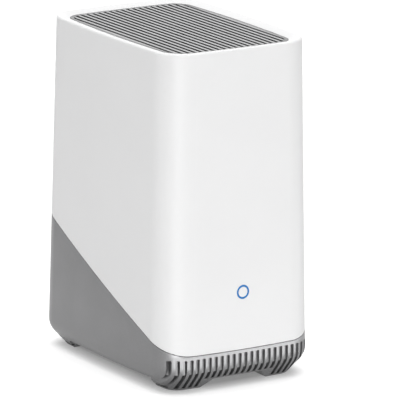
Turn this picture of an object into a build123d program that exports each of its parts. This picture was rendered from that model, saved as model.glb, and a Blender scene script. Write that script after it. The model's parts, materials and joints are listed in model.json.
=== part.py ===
from build123d import *
import math
import os

# A free-standing base station: a white sleeve over a grey slotted base, with a drive tray below.
# Lengths are in millimetres. X runs to the right as seen from the front, the front looks towards -Y,
# Z is up, and the origin lies on the table under the middle of the body.

# The body as a whole
height = 168.0
floor_width = 90.1
floor_depth = 124.3
taper = 2.8
corner_radius = 15.7
side_bow = 2.1
front_bow = 1.2
least_corner_share = 0.1

# Gaps and overruns that many pieces use
cut = 2.0
running_gap = 0.4
seat_gap = 0.05
trim_gap = 0.15

# The slanted joint between sleeve and base
seam_front = 19.0
seam_rear = 72.7
seam_gap = 0.35
lip_height = 4.0
lip_root = 4.0
lip_wall = 1.4

# Outer sleeve, its rim and the ledge under the grille
sleeve_wall = 2.2
rim_land = 2.0
rim_round = 1.1
dish_run = 4.2
dish_drop = 1.4
ledge_width = 2.2
ledge_thickness = 1.8

# Snaps that hold the sleeve on the base's lip
snap_width = 8.0
snap_height = 1.6
snap_bite = 0.8
snap_y_shares = (-0.22, 0.28)

# Top grille
grille_thickness = 1.8
grille_border = 2.0
grille_slots = 20
grille_pitch = 3.35
grille_slot_width = 1.75
grille_rib_width = 2.4
grille_rib_depth = 1.6
grille_rib_y_shares = (-0.25, 0.0, 0.25)
clip_width = 7.0
clip_thickness = 1.2
clip_hook = 0.8
clip_reach = 1.2
clip_y_shares = (-0.2, 0.2)

# Slotted base
base_wall = 3.0
skirt_height = 10.1
knee_round = 9.0
foot_inset = 8.9
foot_height = 5.2
floor_thickness = 2.2
foot_inner_x = 19.2
foot_shoulder_x = 14.0
foot_inner_y = 39.5
foot_shoulder_y = 38.6
slots_per_side = 12
slot_pitch = 3.39
slot_width = 1.9
slot_head = 1.7
slot_round = 0.5
groove_depth = 2.0
groove_foot = 9.6
vent_rim = 0.8
foot_rim = 1.3
vent_depth = 1.0

# Rubber foot pads
pad_thickness = 0.8
pad_margin = 1.6
pad_proud = 0.25

# Ports on the rear wall, from the bottom up
port_face_y = 60.2
port_recess_half = 11.5
port_recess_low = 13.0
port_recess_high = 68.0
port_setback = 0.2
port_gap = 0.25
power_z = 20.0
power_width = 9.0
power_depth = 14.2
power_stand = 11.0
power_bore = 6.4
power_bore_depth = 9.6
power_pin = 2.0
power_pin_length = 8.6
usb_z = 33.6
usb_width = 13.1
usb_stand = 5.8
usb_depth = 14.0
usb_shell = 0.35
usb_tongue = 1.9
usb_tongue_width = 11.0
usb_tongue_setback = 1.0
usb_back = 3.0
usb_lift = 0.2
usb_tongue_drop = 0.7
ethernet_z = 50.4
ethernet_width = 15.9
ethernet_stand = 13.4
ethernet_depth = 21.0
ethernet_mouth = 11.8
ethernet_mouth_stand = 7.2
ethernet_mouth_depth = 14.0
ethernet_mouth_low = 2.6
ethernet_latch_width = 6.2
ethernet_latch_stand = 1.8
ethernet_contacts = 8
ethernet_contact_pitch = 1.02
ethernet_contact_radius = 0.2
ethernet_contact_rise = 2.0
ethernet_contact_run = 7.0

# Sync button and its switch
button_z = 62.8
button_radius = 2.9
button_clearance = 0.2
button_proud = 0.3
button_flange = 0.8
button_flange_thickness = 1.2
button_behind = 1.0
button_travel = 0.6
switch_side = 6.0
switch_depth = 4.0
switch_y = 50.5
plunger_radius = 1.6
plunger_fit = 0.08

# Main board, upright, with its parts towards -X
board_x = 4.2
board_thickness = 1.6
board_front = -46.0
board_rear = 55.6
board_low = 14.6
board_high = 128.0
board_notch_y = 12.0
board_notch_z = 42.0
board_hole_inset = 4.0
board_screw_radius = 1.25
board_screw_length = 5.0
board_screw_head = 2.5
board_screw_head_height = 1.6

# Chips and their cooling
processor_y = -8.0
processor_z = 84.0
processor_side = 15.0
processor_thickness = 1.4
pad_side = 14.0
thermal_thickness = 0.5
sink_width = 42.0
sink_tall = 46.0
sink_base = 2.6
sink_fin_height = 15.0
sink_fins = 9
sink_fin_thickness = 1.2
sink_hole_inset = 4.0
sink_pin_radius = 1.5
sink_pin_head = 2.7
sink_pin_head_height = 1.6
memory_width = 7.6
memory_length = 12.0
memory_thickness = 1.0
memory_y = 20.0
memory_low_z = 66.0
memory_pitch = 14.0
flash_y = 34.0
flash_z = 74.0
flash_width = 11.5
flash_length = 13.0
flash_thickness = 1.0
transformer_width = 12.2
transformer_length = 16.0
transformer_thickness = 4.4
transformer_y = 26.0
capacitor_radius = 3.15
capacitor_length = 7.7
capacitor_y = 36.0
capacitor_pitch = 8.2
capacitor_count = 3
inductor_side = 7.0
inductor_thickness = 4.0
inductor_y = 26.5
inductor_low = 20.0
inductor_pitch = 9.0
can_y = 28.0
can_z = 96.0
can_width = 26.0
can_length = 18.0
can_depth = 2.2
can_wall = 0.25

# Wireless module, antennas and their leads
module_y = 10.0
module_z = 117.5
module_width = 22.0
module_length = 20.0
module_thickness = 0.8
module_lift = 1.4
module_can_margin = 2.0
module_can_low = 1.5
module_can_depth = 1.8
module_socket_width = 12.0
antenna_width = 24.0
antenna_height = 11.0
antenna_thickness = 0.8
antenna_y = 26.0
antenna_z = 126.0
lead_radius = 0.55
lead_bend = 3.0
lead_over = 3.5
coax_plug_radius = 1.3
coax_plug_height = 1.2

# Spine: the upright plate between main board and drive bay
spine_x = 11.2
spine_thickness = 2.0
spine_front = -50.0
spine_rear = 54.0
spine_low = 11.9
spine_high = 133.0
spine_edge = 5.0
spine_rib = 3.0
spine_window_margin = 9.0
flange_x = -30.0
flange_front = -18.0
flange_thickness = 2.0
flange_hole_inset = 5.0
standoff_radius = 3.0
boss_radius = 3.4
boss_hole_depth = 4.0

# Drive, its tray, the cage and the captive screw
drive_length = 100.35
drive_width = 69.85
drive_depth = 9.5
drive_play = 0.3
tray_back = 1.6
tray_rail = 1.6
tray_top_gap = 0.3
tray_bumper = 1.0
tray_bumper_length = 10.0
tray_bumper_width = 5.0
tray_bumper_y_shares = (-0.75, -0.33, 0.33, 0.75)
tray_window_margin = 9.0
tray_window_gap = 6.0
tray_window_round = 4.0
tray_windows = 3
tab_width = 22.0
tab_thickness = 1.8
tab_depth = 3.0
lug_length = 8.6
lug_half = 8.0
lug_screw_inset = 4.4
door_gap = 0.3
tray_screw_head = 3.6
tray_screw_head_height = 2.2
tray_screw_radius = 1.5
tray_screw_length = 4.0
tray_screw_fit = 0.08
tray_screw_slot = 0.9
tray_screw_slot_depth = 0.8
pad_block_wall = 2.2
pad_block_height = 4.0
cage_wall = 1.4
cage_window_margin = 12.0
cage_window_gap = 8.0
cage_windows = 2
cage_screw_z_shares = (0.2, 0.8)
cage_screw_y_share = 0.8

# Connector at the top of the bay, and its ribbon
sata_gap = 0.4
sata_length = 40.0
sata_width = 5.6
sata_height = 5.0
sata_mouth = 2.4
sata_mouth_depth = 3.6
sata_mouth_margin = 2.0
sata_board_width = 10.0
sata_board_length = 52.0
sata_board_thickness = 1.2
ribbon_width = 14.0
ribbon_thickness = 0.7
ribbon_rise = 6.5
ribbon_bend = 2.5
header_depth = 2.6
header_height = 3.6
header_width = 18.0
ribbon_window_play = 3.0

# Speaker in its box, behind the front slots
speaker_x = -8.5
speaker_y = -39.8
speaker_radius = 14.6
speaker_lift = 4.6
speaker_box_half_x = 18.0
speaker_box_front = -56.4
speaker_box_rear = -23.2
speaker_box_height = 27.0
speaker_box_wall = 1.8
speaker_box_corner = 4.0
basket_depth = 9.0
basket_rim_thickness = 1.2
basket_rim_width = 2.2
basket_throat = 8.5
basket_wall = 0.8
cone_thickness = 0.5
cone_depth = 4.2
cone_top_radius = 5.0
surround_width = 2.4
surround_thickness = 0.5
magnet_radius = 9.0
magnet_thickness = 5.0
gasket_thickness = 0.6
post_radius = 2.5
post_inset = 4.4
wire_radius = 0.6
wire_pitch = 1.6
mesh_thickness = 0.5
mesh_gap = 0.1
mesh_half = 38.0
mesh_depth = 14.0

# Status light: ring lens, centre plug, and its small board
ring_z = 47.7
ring_radius = 3.5
ring_line = 0.95
ring_fit = 0.06
lens_rear = -55.4
lens_flange = 1.2
lens_flange_thickness = 0.8
led_board_y = -53.8
led_board_width = 26.0
led_board_height = 12.0
led_board_thickness = 1.2
led_side = 1.8
led_thickness = 0.9
led_boss_x = 9.5
led_boss_radius = 2.4

# Values worked out from the sizes above
floor_top = foot_height + floor_thickness
dish_inset = rim_land + dish_run
ledge_inset = dish_inset + ledge_width
grille_top = height - dish_drop
grille_bottom = grille_top - grille_thickness
ledge_bottom = grille_bottom - ledge_thickness
lip_inset = sleeve_wall + trim_gap
skirt_slope = foot_inset / skirt_height
skirt_wall_run = base_wall * math.hypot(1, skirt_slope)
port_end = port_face_y - port_setback
board_back = board_x + board_thickness
spine_back = spine_x + spine_thickness
cage_left = spine_back
cage_right = cage_left + 2 * (cage_wall + running_gap) + tray_back + drive_depth + drive_play
tray_left = cage_left + cage_wall + running_gap
tray_right = cage_right - cage_wall - running_gap
tray_half = (drive_width + drive_play) / 2 + tray_rail
cage_half = tray_half + running_gap + cage_wall
drive_low = floor_top + tray_bumper
drive_high = drive_low + drive_length
sata_low = drive_high + sata_gap
sata_board_low = sata_low + sata_height
cage_top = sata_board_low + sata_board_thickness
lug_left = tray_left - lug_length
lug_screw_x = lug_left + lug_screw_inset
pad_block_top = floor_top + pad_block_height
speaker_low = floor_top + speaker_lift
box_top = speaker_low + speaker_box_height
sata_x = (tray_left + tray_back + tray_right) / 2


def outline(z, inset=0):
    """The body's outline at one height, moved inwards: four bowed sides with round corners."""
    lean = taper * z / height + inset
    half_x = floor_width / 2 - lean
    half_y = floor_depth / 2 - lean
    corner_x = half_x - side_bow
    corner_y = half_y - front_bow
    corners = [(-corner_x, -corner_y), (corner_x, -corner_y), (corner_x, corner_y), (-corner_x, corner_y)]
    crowns = [(0, -half_y), (half_x, 0), (0, half_y), (-half_x, 0)]
    sides = [ThreePointArc(corners[i - 1], crowns[i - 1], corners[i % 4]) for i in range(1, 5)]
    face = make_face(sides)
    radius = max(corner_radius - inset, corner_radius * least_corner_share)
    return Pos(0, 0, z) * fillet(face.vertices(), radius)


def body(low, high, low_inset=0, high_inset=None):
    """A solid between two heights that follows the leaning outline."""
    top_inset = low_inset if high_inset is None else high_inset
    return loft([outline(low, low_inset), outline(high, top_inset)], ruled=True)


def block(x, y, z):
    """A box from its lowest to its highest corner, each axis given as a pair."""
    size = [pair[1] - pair[0] for pair in (x, y, z)]
    centre = [(pair[0] + pair[1]) / 2 for pair in (x, y, z)]
    return Pos(*centre) * Box(*size)


def rod(axis, start, radius, length):
    """A cylinder that starts at a point and runs along one axis; a negative length runs backwards."""
    turn = {"x": Rot(0, 90, 0), "y": Rot(-90, 0, 0), "z": Rot(0, 0, 0)}[axis]
    step = {"x": (length / 2, 0, 0), "y": (0, length / 2, 0), "z": (0, 0, length / 2)}[axis]
    return Pos(*start) * Pos(*step) * turn * Cylinder(radius, abs(length))


def seam_z(y):
    """Height of the slanted joint at one depth."""
    return seam_front + (seam_rear - seam_front) * (y / floor_depth + 1 / 2)


def under_seam(shift):
    """Everything below the slanted joint, moved up by a shift."""
    reach = floor_depth
    corners = [(-reach, -reach), (reach, -reach)]
    corners += [(y, seam_z(y) + shift) for y in (reach, -reach)]
    side = make_face(Polyline(corners, close=True))
    return extrude(Plane.YZ * side, amount=floor_width, both=True)


def wall_x(y, z, inset):
    """How far the body's right-hand side stands from the middle at a depth and height."""
    half_x = floor_width / 2 - taper * z / height - inset
    half_y = floor_depth / 2 - taper * z / height - inset
    return half_x - side_bow * (y / half_y) ** 2


def screw(axis, start, way, head_radius, head_height, radius, length):
    """A pan-head screw: its head stands behind the start, and its shank runs along the axis."""
    head = rod(axis, start, head_radius, -way * head_height)
    return head + rod(axis, start, radius, way * length)


def grid_x(count, pitch):
    """Places of a row of copies about the middle."""
    return [(i - (count - 1) / 2) * pitch for i in range(count)]


def snap_blocks(play):
    """Four short bars at the joint, two on each side, grown by some play."""
    bars = []
    for share in snap_y_shares:
        y = share * floor_depth
        z = seam_z(y) + lip_height / 2
        for side in (-1, 1):
            x = side * wall_x(y, z, sleeve_wall)
            half = (snap_width / 2 + play, snap_height / 2 + play)
            bars.append(block((x - cut, x + cut), (y - half[0], y + half[0]), (z - half[1], z + half[1])))
    return bars


def outer_sleeve():
    low = seam_front - cut
    sleeve = body(low, height)
    rim = sleeve.edges().group_by(Axis.Z)[-1]
    sleeve = fillet(rim, rim_round)
    sleeve -= body(low - cut, ledge_bottom, sleeve_wall)
    sleeve -= body(ledge_bottom - cut, height + cut, ledge_inset)
    sleeve -= body(grille_bottom, height + cut, dish_inset)
    sleeve -= body(grille_top, height, dish_inset, rim_land)
    sleeve -= under_seam(0)
    for x in (-led_boss_x, led_boss_x):
        boss = rod("y", (x, led_board_y, ring_z), led_boss_radius, -floor_depth / 2 - led_board_y)
        sleeve += boss & body(low, height, sleeve_wall / 2)
        sleeve -= rod("y", (x, led_board_y + cut, ring_z), board_screw_radius + seat_gap,
                      -boss_hole_depth - cut)
    sleeve -= rod("y", (0, 0, ring_z), ring_radius + ring_fit, -floor_depth)
    pocket = body(low, seam_rear + lip_height + cut, sleeve_wall - snap_bite)
    for bar in snap_blocks(trim_gap):
        sleeve -= bar & pocket
    return sleeve


def grille_clips(play):
    """The clips under the grille: a leg inside the ledge and a hook below it, on both long sides."""
    clips = []
    for share in clip_y_shares:
        y = share * floor_depth
        for side in (-1, 1):
            edge = wall_x(abs(y) + clip_width / 2, ledge_bottom, ledge_inset) - trim_gap + play
            leg_x = sorted((side * edge, side * (edge - clip_thickness - 2 * play)))
            hook_x = sorted((side * (edge + clip_hook), side * (edge - clip_thickness - 2 * play)))
            span = (y - clip_width / 2 - play, y + clip_width / 2 + play)
            hook_top = ledge_bottom - trim_gap
            clips.append(block(leg_x, span, (hook_top - clip_reach, grille_bottom + play)))
            clips.append(block(hook_x, span, (hook_top - clip_reach, hook_top)))
    return clips


def top_grille():
    panel = body(grille_bottom, grille_top, dish_inset + trim_gap)
    field = body(grille_bottom - cut, grille_top + cut, dish_inset + grille_border)
    half = grille_slot_width / 2
    deep = (-floor_depth, floor_depth)
    high = (grille_bottom - cut, grille_top + cut)
    slots = Part() + [block((x - half, x + half), deep, high) for x in grid_x(grille_slots, grille_pitch)]
    panel -= slots & field
    rib_half_x = floor_width / 2 - taper - side_bow - ledge_inset - trim_gap
    for share in grille_rib_y_shares:
        y = share * floor_depth
        panel += block((-rib_half_x, rib_half_x), (y - grille_rib_width / 2, y + grille_rib_width / 2),
                       (grille_bottom - grille_rib_depth, grille_bottom))
    for clip in grille_clips(0):
        panel += clip
    return panel


def slot_comb(low, high, centres, reach, rounded=0):
    """Upright slots side by side, all run front to back between the two ends of the reach."""
    corners = RectangleRounded(slot_width, 2 * high, rounded) if rounded else Rectangle(slot_width, 2 * high)
    shape = corners & (Pos(0, (low + high) / 2) * Rectangle(2 * slot_width, high - low))
    run = reach[1] - reach[0]
    row = [extrude(Plane.XZ.offset(-reach[1]) * Pos(x, 0) * shape, amount=run) for x in centres]
    return Part() + row


def slot_centres():
    """The slots on both sides of the middle fin: those between the feet, and those over the feet."""
    places = [slot_pitch * (i + 1 / 2) for i in range(slots_per_side)]
    middle = [x for x in places if x < foot_inner_x]
    outer = [x for x in places if x >= foot_inner_x]
    return [-x for x in middle] + middle, [-x for x in outer] + outer


def foot_gap(axis_x):
    """The space between two feet: open below, closed by the underside above, with sloping ends."""
    floor_half = foot_inner_x if axis_x else foot_inner_y
    top_half = foot_shoulder_x if axis_x else foot_shoulder_y
    slope = (floor_half - top_half) / foot_height
    low_half = floor_half + slope * cut
    corners = [(-low_half, -cut), (low_half, -cut), (top_half, foot_height), (-top_half, foot_height)]
    profile = make_face(Polyline(corners, close=True))
    plane = Plane.XZ if axis_x else Plane.YZ
    return extrude(plane * profile, amount=floor_depth, both=True)


def base_shell():
    """The base's wall, skirt and underside, with the lip that stands up inside the sleeve."""
    top = seam_rear + lip_height + 2 * cut
    shell = body(skirt_height, top) + body(0, skirt_height, foot_inset, 0)
    knee_edges = shell.edges().filter_by_position(Axis.Z, skirt_height - seat_gap, skirt_height + seat_gap)
    shell = fillet(knee_edges, knee_round)
    knee = skirt_height * (1 + (skirt_wall_run - base_wall) / foot_inset)
    low_inset = skirt_slope * (skirt_height - floor_top) + skirt_wall_run
    shell -= body(knee, top + cut, base_wall) + body(floor_top, knee, low_inset, base_wall)
    shell &= under_seam(-seam_gap)
    lip = body(seam_front - 2 * lip_root, top, lip_inset)
    lip -= body(skirt_height, top + cut, lip_inset + lip_wall)
    lip = (lip & under_seam(lip_height)) - under_seam(-lip_root)
    bite = body(skirt_height, top, sleeve_wall - snap_bite + trim_gap)
    bite -= body(skirt_height - cut, top + cut, lip_inset + lip_wall / 2)
    return shell + [lip, *[bar & bite for bar in snap_blocks(0)]]


def base_slots():
    """Grooves in the wall, vents through the skirt and open slots through the feet, as cutting tools."""
    middle, outer = slot_centres()
    front = (-floor_depth, -foot_shoulder_y)
    rear = (foot_shoulder_y, floor_depth)
    groove_span = (groove_foot - cut / 2, seam_front - slot_head)
    inner_skin = body(0, seam_front + cut, groove_depth)
    run = skirt_wall_run + vent_depth
    throat = body(0, skirt_height, foot_inset + run, run)
    tools = [slot_comb(*groove_span, middle + outer, front, slot_round) - inner_skin,
             slot_comb(*groove_span, outer, rear, slot_round) - inner_skin,
             slot_comb(foot_height + vent_rim, groove_foot, middle, front) - throat]
    for reach in (front, rear):
        tools.append(slot_comb(foot_rim, foot_height, outer, reach))
        tools.append(slot_comb(foot_height, groove_foot, outer, reach) - throat)
    return tools


def base_housing():
    bosses = [rod("z", (x, y, floor_top - floor_thickness / 2), boss_radius,
                  spine_low - floor_top + floor_thickness / 2) for x, y in frame_holes()]
    bosses += [rod("z", (x, y, floor_top - floor_thickness / 2), post_radius,
                   speaker_low - floor_top + floor_thickness / 2) for x, y in speaker_posts()]
    reach = lug_half + pad_block_wall
    bosses.append(block((lug_left - pad_block_wall, cage_left), (-reach, reach),
                        (floor_top - floor_thickness / 2, pad_block_top)))
    housing = base_shell() + bosses

    # Screw holes, the drive's opening, the ports with their shallow recess, and the key's hole
    pilot = board_screw_radius + seat_gap
    holes = [rod("z", (x, y, spine_low + cut), pilot, -boss_hole_depth - cut) for x, y in frame_holes()]
    holes += [rod("z", (x, y, speaker_low + cut), pilot, -boss_hole_depth - cut) for x, y in speaker_posts()]
    holes.append(rod("z", (lug_screw_x, 0, 0), tray_screw_radius + tray_screw_fit, height))
    tray_reach = tray_half + running_gap
    lug_reach = lug_half + door_gap
    housing -= holes
    housing -= block((tray_left - running_gap, tray_right + running_gap), (-tray_reach, tray_reach),
                     (0, floor_top + cut / 2))
    housing -= block((lug_left - door_gap, tray_left), (-lug_reach, lug_reach), (0, floor_top))
    recess = block((-port_recess_half, port_recess_half), (port_face_y, floor_depth),
                   (port_recess_low, port_recess_high))
    key_hole = rod("y", (button_x(), 0, button_z), button_radius + button_clearance, floor_depth)
    housing -= [recess, key_hole, *port_blocks(port_gap)]

    # The feet and their soles, then every slot
    housing -= [foot_gap(True), foot_gap(False)]
    under = block((-floor_width, floor_width), (-floor_depth, floor_depth), (-cut, pad_proud))
    housing = housing - under - pad_shape(seat_gap)
    for tool in base_slots():
        housing -= tool
    return housing


def port_blocks(play):
    """The outer shape of each port, run through the rear wall, with some play round it."""
    rows = [(power_stand, 0, power_z, power_width), (usb_stand, usb_lift, usb_z, usb_width),
            (ethernet_stand, 0, ethernet_z, ethernet_width)]
    return [block((board_x - lift - stand - play, board_x - lift + play), (spine_rear, floor_depth),
                  (z - width / 2 - play, z + width / 2 + play)) for stand, lift, z, width in rows]


def button_x():
    """The button stands over the middle of its switch."""
    return board_x - switch_side / 2


def frame_holes():
    """The four screws that hold the spine's foot to the base."""
    xs = (flange_x + flange_hole_inset, -flange_hole_inset)
    ys = (flange_front + flange_hole_inset, spine_rear - 2 * flange_hole_inset)
    return [(x, y) for x in xs for y in ys]


def speaker_posts():
    """The four corners where the speaker's box is screwed down."""
    xs = (speaker_x - speaker_box_half_x + post_inset, speaker_x + speaker_box_half_x - post_inset)
    ys = (speaker_box_front + post_inset, speaker_box_rear - post_inset)
    return [(x, y) for x in xs for y in ys]


def foot_pads():
    """A thin rubber sole under each foot, let into a shallow recess and a little proud of it."""
    return pad_shape(0)


def pad_shape(play):
    """Four soles, grown by some play."""
    inset = foot_inset + pad_margin - play
    sole = body(0, pad_thickness + play, inset)
    half_x = foot_inner_x + pad_margin - play
    half_y = foot_inner_y + pad_margin - play
    middle = block((-half_x, half_x), (-floor_depth, floor_depth), (-cut, height))
    middle += block((-floor_width, floor_width), (-half_y, half_y), (-cut, height))
    return sole - middle


def status_lens():
    tube = rod("y", (0, lens_rear, ring_z), ring_radius, -floor_depth / 2 - lens_rear)
    inner_wall = -(floor_depth / 2 - taper * ring_z / height - sleeve_wall)
    tube += rod("y", (0, inner_wall + trim_gap, ring_z), ring_radius + lens_flange, lens_flange_thickness)
    tube -= rod("y", (0, 0, ring_z), ring_radius - ring_line, -floor_depth)
    return tube & body(seam_front, height)


def status_plug():
    """White disc in the ring's middle."""
    length = -floor_depth / 2 - lens_rear
    plug = rod("y", (0, lens_rear, ring_z), ring_radius - ring_line - ring_fit, length)
    return plug & body(seam_front, height)


def led_board():
    plate = block((-led_board_width / 2, led_board_width / 2),
                  (led_board_y, led_board_y + led_board_thickness),
                  (ring_z - led_board_height / 2, ring_z + led_board_height / 2))
    for x in (-led_boss_x, led_boss_x):
        plate -= rod("y", (x, 0, ring_z), board_screw_radius + seat_gap, -floor_depth)
    return plate


def status_leds():
    """Four small lamps in a ring, just behind the lens."""
    reach = ring_radius - ring_line / 2
    lamps = []
    for i in range(4):
        angle = math.radians(90 * i)
        x = reach * math.cos(angle)
        z = ring_z + reach * math.sin(angle)
        half = led_side / 2
        lamps.append(block((x - half, x + half), (led_board_y - led_thickness, led_board_y),
                           (z - half, z + half)))
    return Part() + lamps


def led_screws():
    return Part() + [screw("y", (x, led_board_y + led_board_thickness, ring_z), -1, board_screw_head,
                           board_screw_head_height, board_screw_radius, board_screw_length)
                     for x in (-led_boss_x, led_boss_x)]


def acoustic_mesh():
    """Black mesh that lies against the inside of the front vents."""
    knee = skirt_height * (1 + (skirt_wall_run - base_wall) / foot_inset)
    low = floor_top + mesh_gap
    low_inset = skirt_slope * (skirt_height - floor_top) + skirt_wall_run + mesh_gap
    high_inset = base_wall + mesh_gap
    strip = body(low, knee, low_inset, high_inset) - body(low, knee, low_inset + mesh_thickness,
                                                         high_inset + mesh_thickness)
    front = -floor_depth / 2
    return strip & block((-mesh_half, mesh_half), (front, front + mesh_depth), (0, height))


def speaker_box():
    """A closed box over the speaker, open below at the speaker's mouth."""
    x = (speaker_x - speaker_box_half_x, speaker_x + speaker_box_half_x)
    y = (speaker_box_front, speaker_box_rear)
    wall = speaker_box_wall
    case = block(x, y, (speaker_low, box_top))
    case = fillet(case.edges().filter_by(Axis.Z), speaker_box_corner)
    hollow = block((x[0] + wall, x[1] - wall), (y[0] + wall, y[1] - wall),
                   (speaker_low + wall, box_top - wall))
    hollow = fillet(hollow.edges().filter_by(Axis.Z), speaker_box_corner - wall)
    case -= hollow
    for px, py in speaker_posts():
        case += rod("z", (px, py, speaker_low + wall / 2), post_radius, box_top - speaker_low - wall)
        case -= rod("z", (px, py, 0), board_screw_radius + seat_gap, height)
    mouth = speaker_radius - basket_rim_width
    case -= rod("z", (speaker_x, speaker_y, speaker_low - cut), mouth, wall + 2 * cut)
    wire_x = speaker_x + wire_pitch / 2
    exit_hole = rod("y", (wire_x, 0, wire_z()), wire_pitch / 2 + wire_radius + trim_gap, -floor_depth / 2)
    case -= exit_hole & block(x, (speaker_box_rear - wall - cut, cut), (speaker_low, box_top))
    return case


def wire_z():
    """Height at which the speaker's wires leave its box."""
    return box_top - 2 * speaker_box_wall - wire_pitch


def turned(points):
    """A ring of revolution about the speaker's axis from a radius and height outline."""
    profile = make_face(Polyline(points, close=True))
    ring = revolve(Plane.XZ * profile, axis=Axis.Z)
    return Pos(speaker_x, speaker_y, 0) * ring


def speaker_frame():
    """The pressed basket: a flat rim, a sloping wall and a throat that holds the magnet."""
    rim_low = speaker_low + speaker_box_wall + gasket_thickness
    rim_high = rim_low + basket_rim_thickness
    back = rim_low + basket_depth
    waist = speaker_radius - basket_rim_width
    points = [(waist, rim_low), (speaker_radius, rim_low), (speaker_radius, rim_high),
              (waist + basket_wall, rim_high), (basket_throat + basket_wall, back), (0, back),
              (0, back - basket_wall), (basket_throat, back - basket_wall), (waist, rim_high)]
    return turned(points)


def speaker_gasket():
    low = speaker_low + speaker_box_wall
    waist = speaker_radius - basket_rim_width
    return turned([(waist, low), (speaker_radius, low), (speaker_radius, low + gasket_thickness),
                   (waist, low + gasket_thickness)])


def speaker_cone():
    """Paper cone with its dust cap and the roll round its edge."""
    edge = speaker_low + speaker_box_wall + gasket_thickness + seat_gap
    outer = speaker_radius - basket_rim_width - seat_gap
    roll = outer - surround_width
    points = [(0, edge + cone_depth - cone_thickness), (cone_top_radius, edge + cone_depth - cone_thickness),
              (roll, edge), (outer - surround_width / 2, edge - surround_thickness), (outer, edge),
              (outer, edge + surround_thickness), (outer - surround_width / 2, edge),
              (roll, edge + cone_thickness), (cone_top_radius, edge + cone_depth), (0, edge + cone_depth)]
    return turned(points)


def speaker_magnet():
    back = speaker_low + speaker_box_wall + gasket_thickness + basket_depth
    disc = rod("z", (speaker_x, speaker_y, back), magnet_radius, magnet_thickness)
    return chamfer(disc.edges().group_by(Axis.Z)[-1], magnet_thickness / 8)


def speaker_screws():
    """Long screws down through the box's corner columns into the base's posts."""
    length = speaker_box_height + boss_hole_depth - board_screw_radius
    return Part() + [screw("z", (x, y, box_top), -1, board_screw_head, board_screw_head_height,
                           board_screw_radius, length) for x, y in speaker_posts()]


def spine_screw_places():
    """Where the main board is screwed to the spine."""
    ys = (board_front + board_hole_inset, board_rear - 2 * board_hole_inset)
    low_y = board_notch_y + board_hole_inset
    rows = [(y, board_high - board_hole_inset) for y in ys]
    rows.append((ys[0], board_notch_z + board_hole_inset))
    rows.append((low_y, board_low + board_hole_inset))
    return rows


def spine():
    """The moulded frame that everything inside hangs on: an upright plate on a flanged foot."""
    plate = block((spine_x, spine_back), (spine_front, spine_rear), (spine_low, spine_high))
    plate = fillet(plate.edges().filter_by(Axis.X), spine_edge)
    plate += block((flange_x, spine_back), (flange_front, spine_rear - spine_edge),
                   (spine_low, spine_low + flange_thickness))
    ribs_x = (spine_x - spine_rib, spine_x)
    plate += block(ribs_x, (spine_front, spine_front + spine_thickness),
                   (box_top + spine_edge, spine_high - spine_edge))
    window_y = (spine_front + spine_window_margin, -ribbon_window_play - header_width)
    plate -= block((0, cage_right), window_y, (box_top + spine_window_margin, cage_top - spine_window_margin))
    for y, z in spine_screw_places():
        plate += rod("x", (board_back, y, z), standoff_radius, spine_back - board_back)
        plate -= rod("x", (board_back - cut, y, z), board_screw_radius + seat_gap, boss_hole_depth + cut)
    for y, z in cage_screw_places():
        plate -= rod("x", (0, y, z), board_screw_radius + seat_gap, cage_right)
    for x, y in frame_holes():
        plate -= rod("z", (x, y, 0), board_screw_radius + seat_gap, height / 2)
    half = header_width / 2 + ribbon_window_play
    z = cage_top + cage_wall + ribbon_rise
    plate -= block((0, cage_right), (-half, half), (z - header_height, z + header_height))
    return plate


def cage_screw_places():
    """Where the drive cage is screwed to the spine."""
    rows = [floor_top + share * (cage_top - floor_top) for share in cage_screw_z_shares]
    reach = cage_screw_y_share * cage_half
    return [(y, z) for y in (-reach, reach) for z in rows]


def drive_cage():
    """Folded steel box that guides the tray, open below, with the connector's board under its roof."""
    low = floor_top
    cage = block((cage_left, cage_right), (-cage_half, cage_half), (low, cage_top + cage_wall))
    cage -= block((cage_left + cage_wall, cage_right - cage_wall),
                  (-cage_half + cage_wall, cage_half - cage_wall),
                  (low - cut, cage_top))
    margin = cage_window_margin
    tall = (cage_top - low - 2 * margin - (cage_windows - 1) * cage_window_gap) / cage_windows
    for i in range(cage_windows):
        z = low + margin + i * (tall + cage_window_gap)
        window = block((0, floor_width), (-cage_half + margin, cage_half - margin), (z, z + tall))
        window = fillet(window.edges().filter_by(Axis.X), cage_window_gap / 2)
        cage -= window & block(((cage_left + cage_right) / 2, floor_width), (-floor_depth, floor_depth),
                               (0, height))
    half = header_width / 2 + seat_gap
    cage -= block((sata_x - header_depth / 2 - seat_gap, sata_x + header_depth / 2 + seat_gap), (-half, half),
                  (cage_top - cut, cage_top + cut))
    for y, z in cage_screw_places():
        cage -= rod("x", (0, y, z), board_screw_radius + seat_gap, (cage_left + cage_right) / 2)
    for y in sata_screw_ys():
        cage -= rod("z", (sata_x, y, cage_top - cut), board_screw_radius + seat_gap, 2 * cut)
    return cage


def sata_screw_ys():
    reach = (sata_length + sata_board_length) / 4
    return (-reach, reach)


def cage_screws():
    """Screws from the board side of the spine into the cage's wall."""
    length = spine_thickness + cage_wall
    return Part() + [screw("x", (spine_x, y, z), 1, board_screw_head, board_screw_head_height,
                           board_screw_radius, length) for y, z in cage_screw_places()]


def frame_screws():
    top = spine_low + flange_thickness
    return Part() + [screw("z", (x, y, top), -1, board_screw_head, board_screw_head_height,
                           board_screw_radius, board_screw_length) for x, y in frame_holes()]


def board_screws():
    return Part() + [screw("x", (board_x, y, z), 1, board_screw_head, board_screw_head_height,
                           board_screw_radius, board_screw_length) for y, z in spine_screw_places()]


def sata_screws():
    top = cage_top + cage_wall
    length = cage_wall + sata_board_thickness
    return Part() + [screw("z", (sata_x, y, top), -1, board_screw_head, board_screw_head_height,
                           board_screw_radius, length) for y in sata_screw_ys()]


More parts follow.
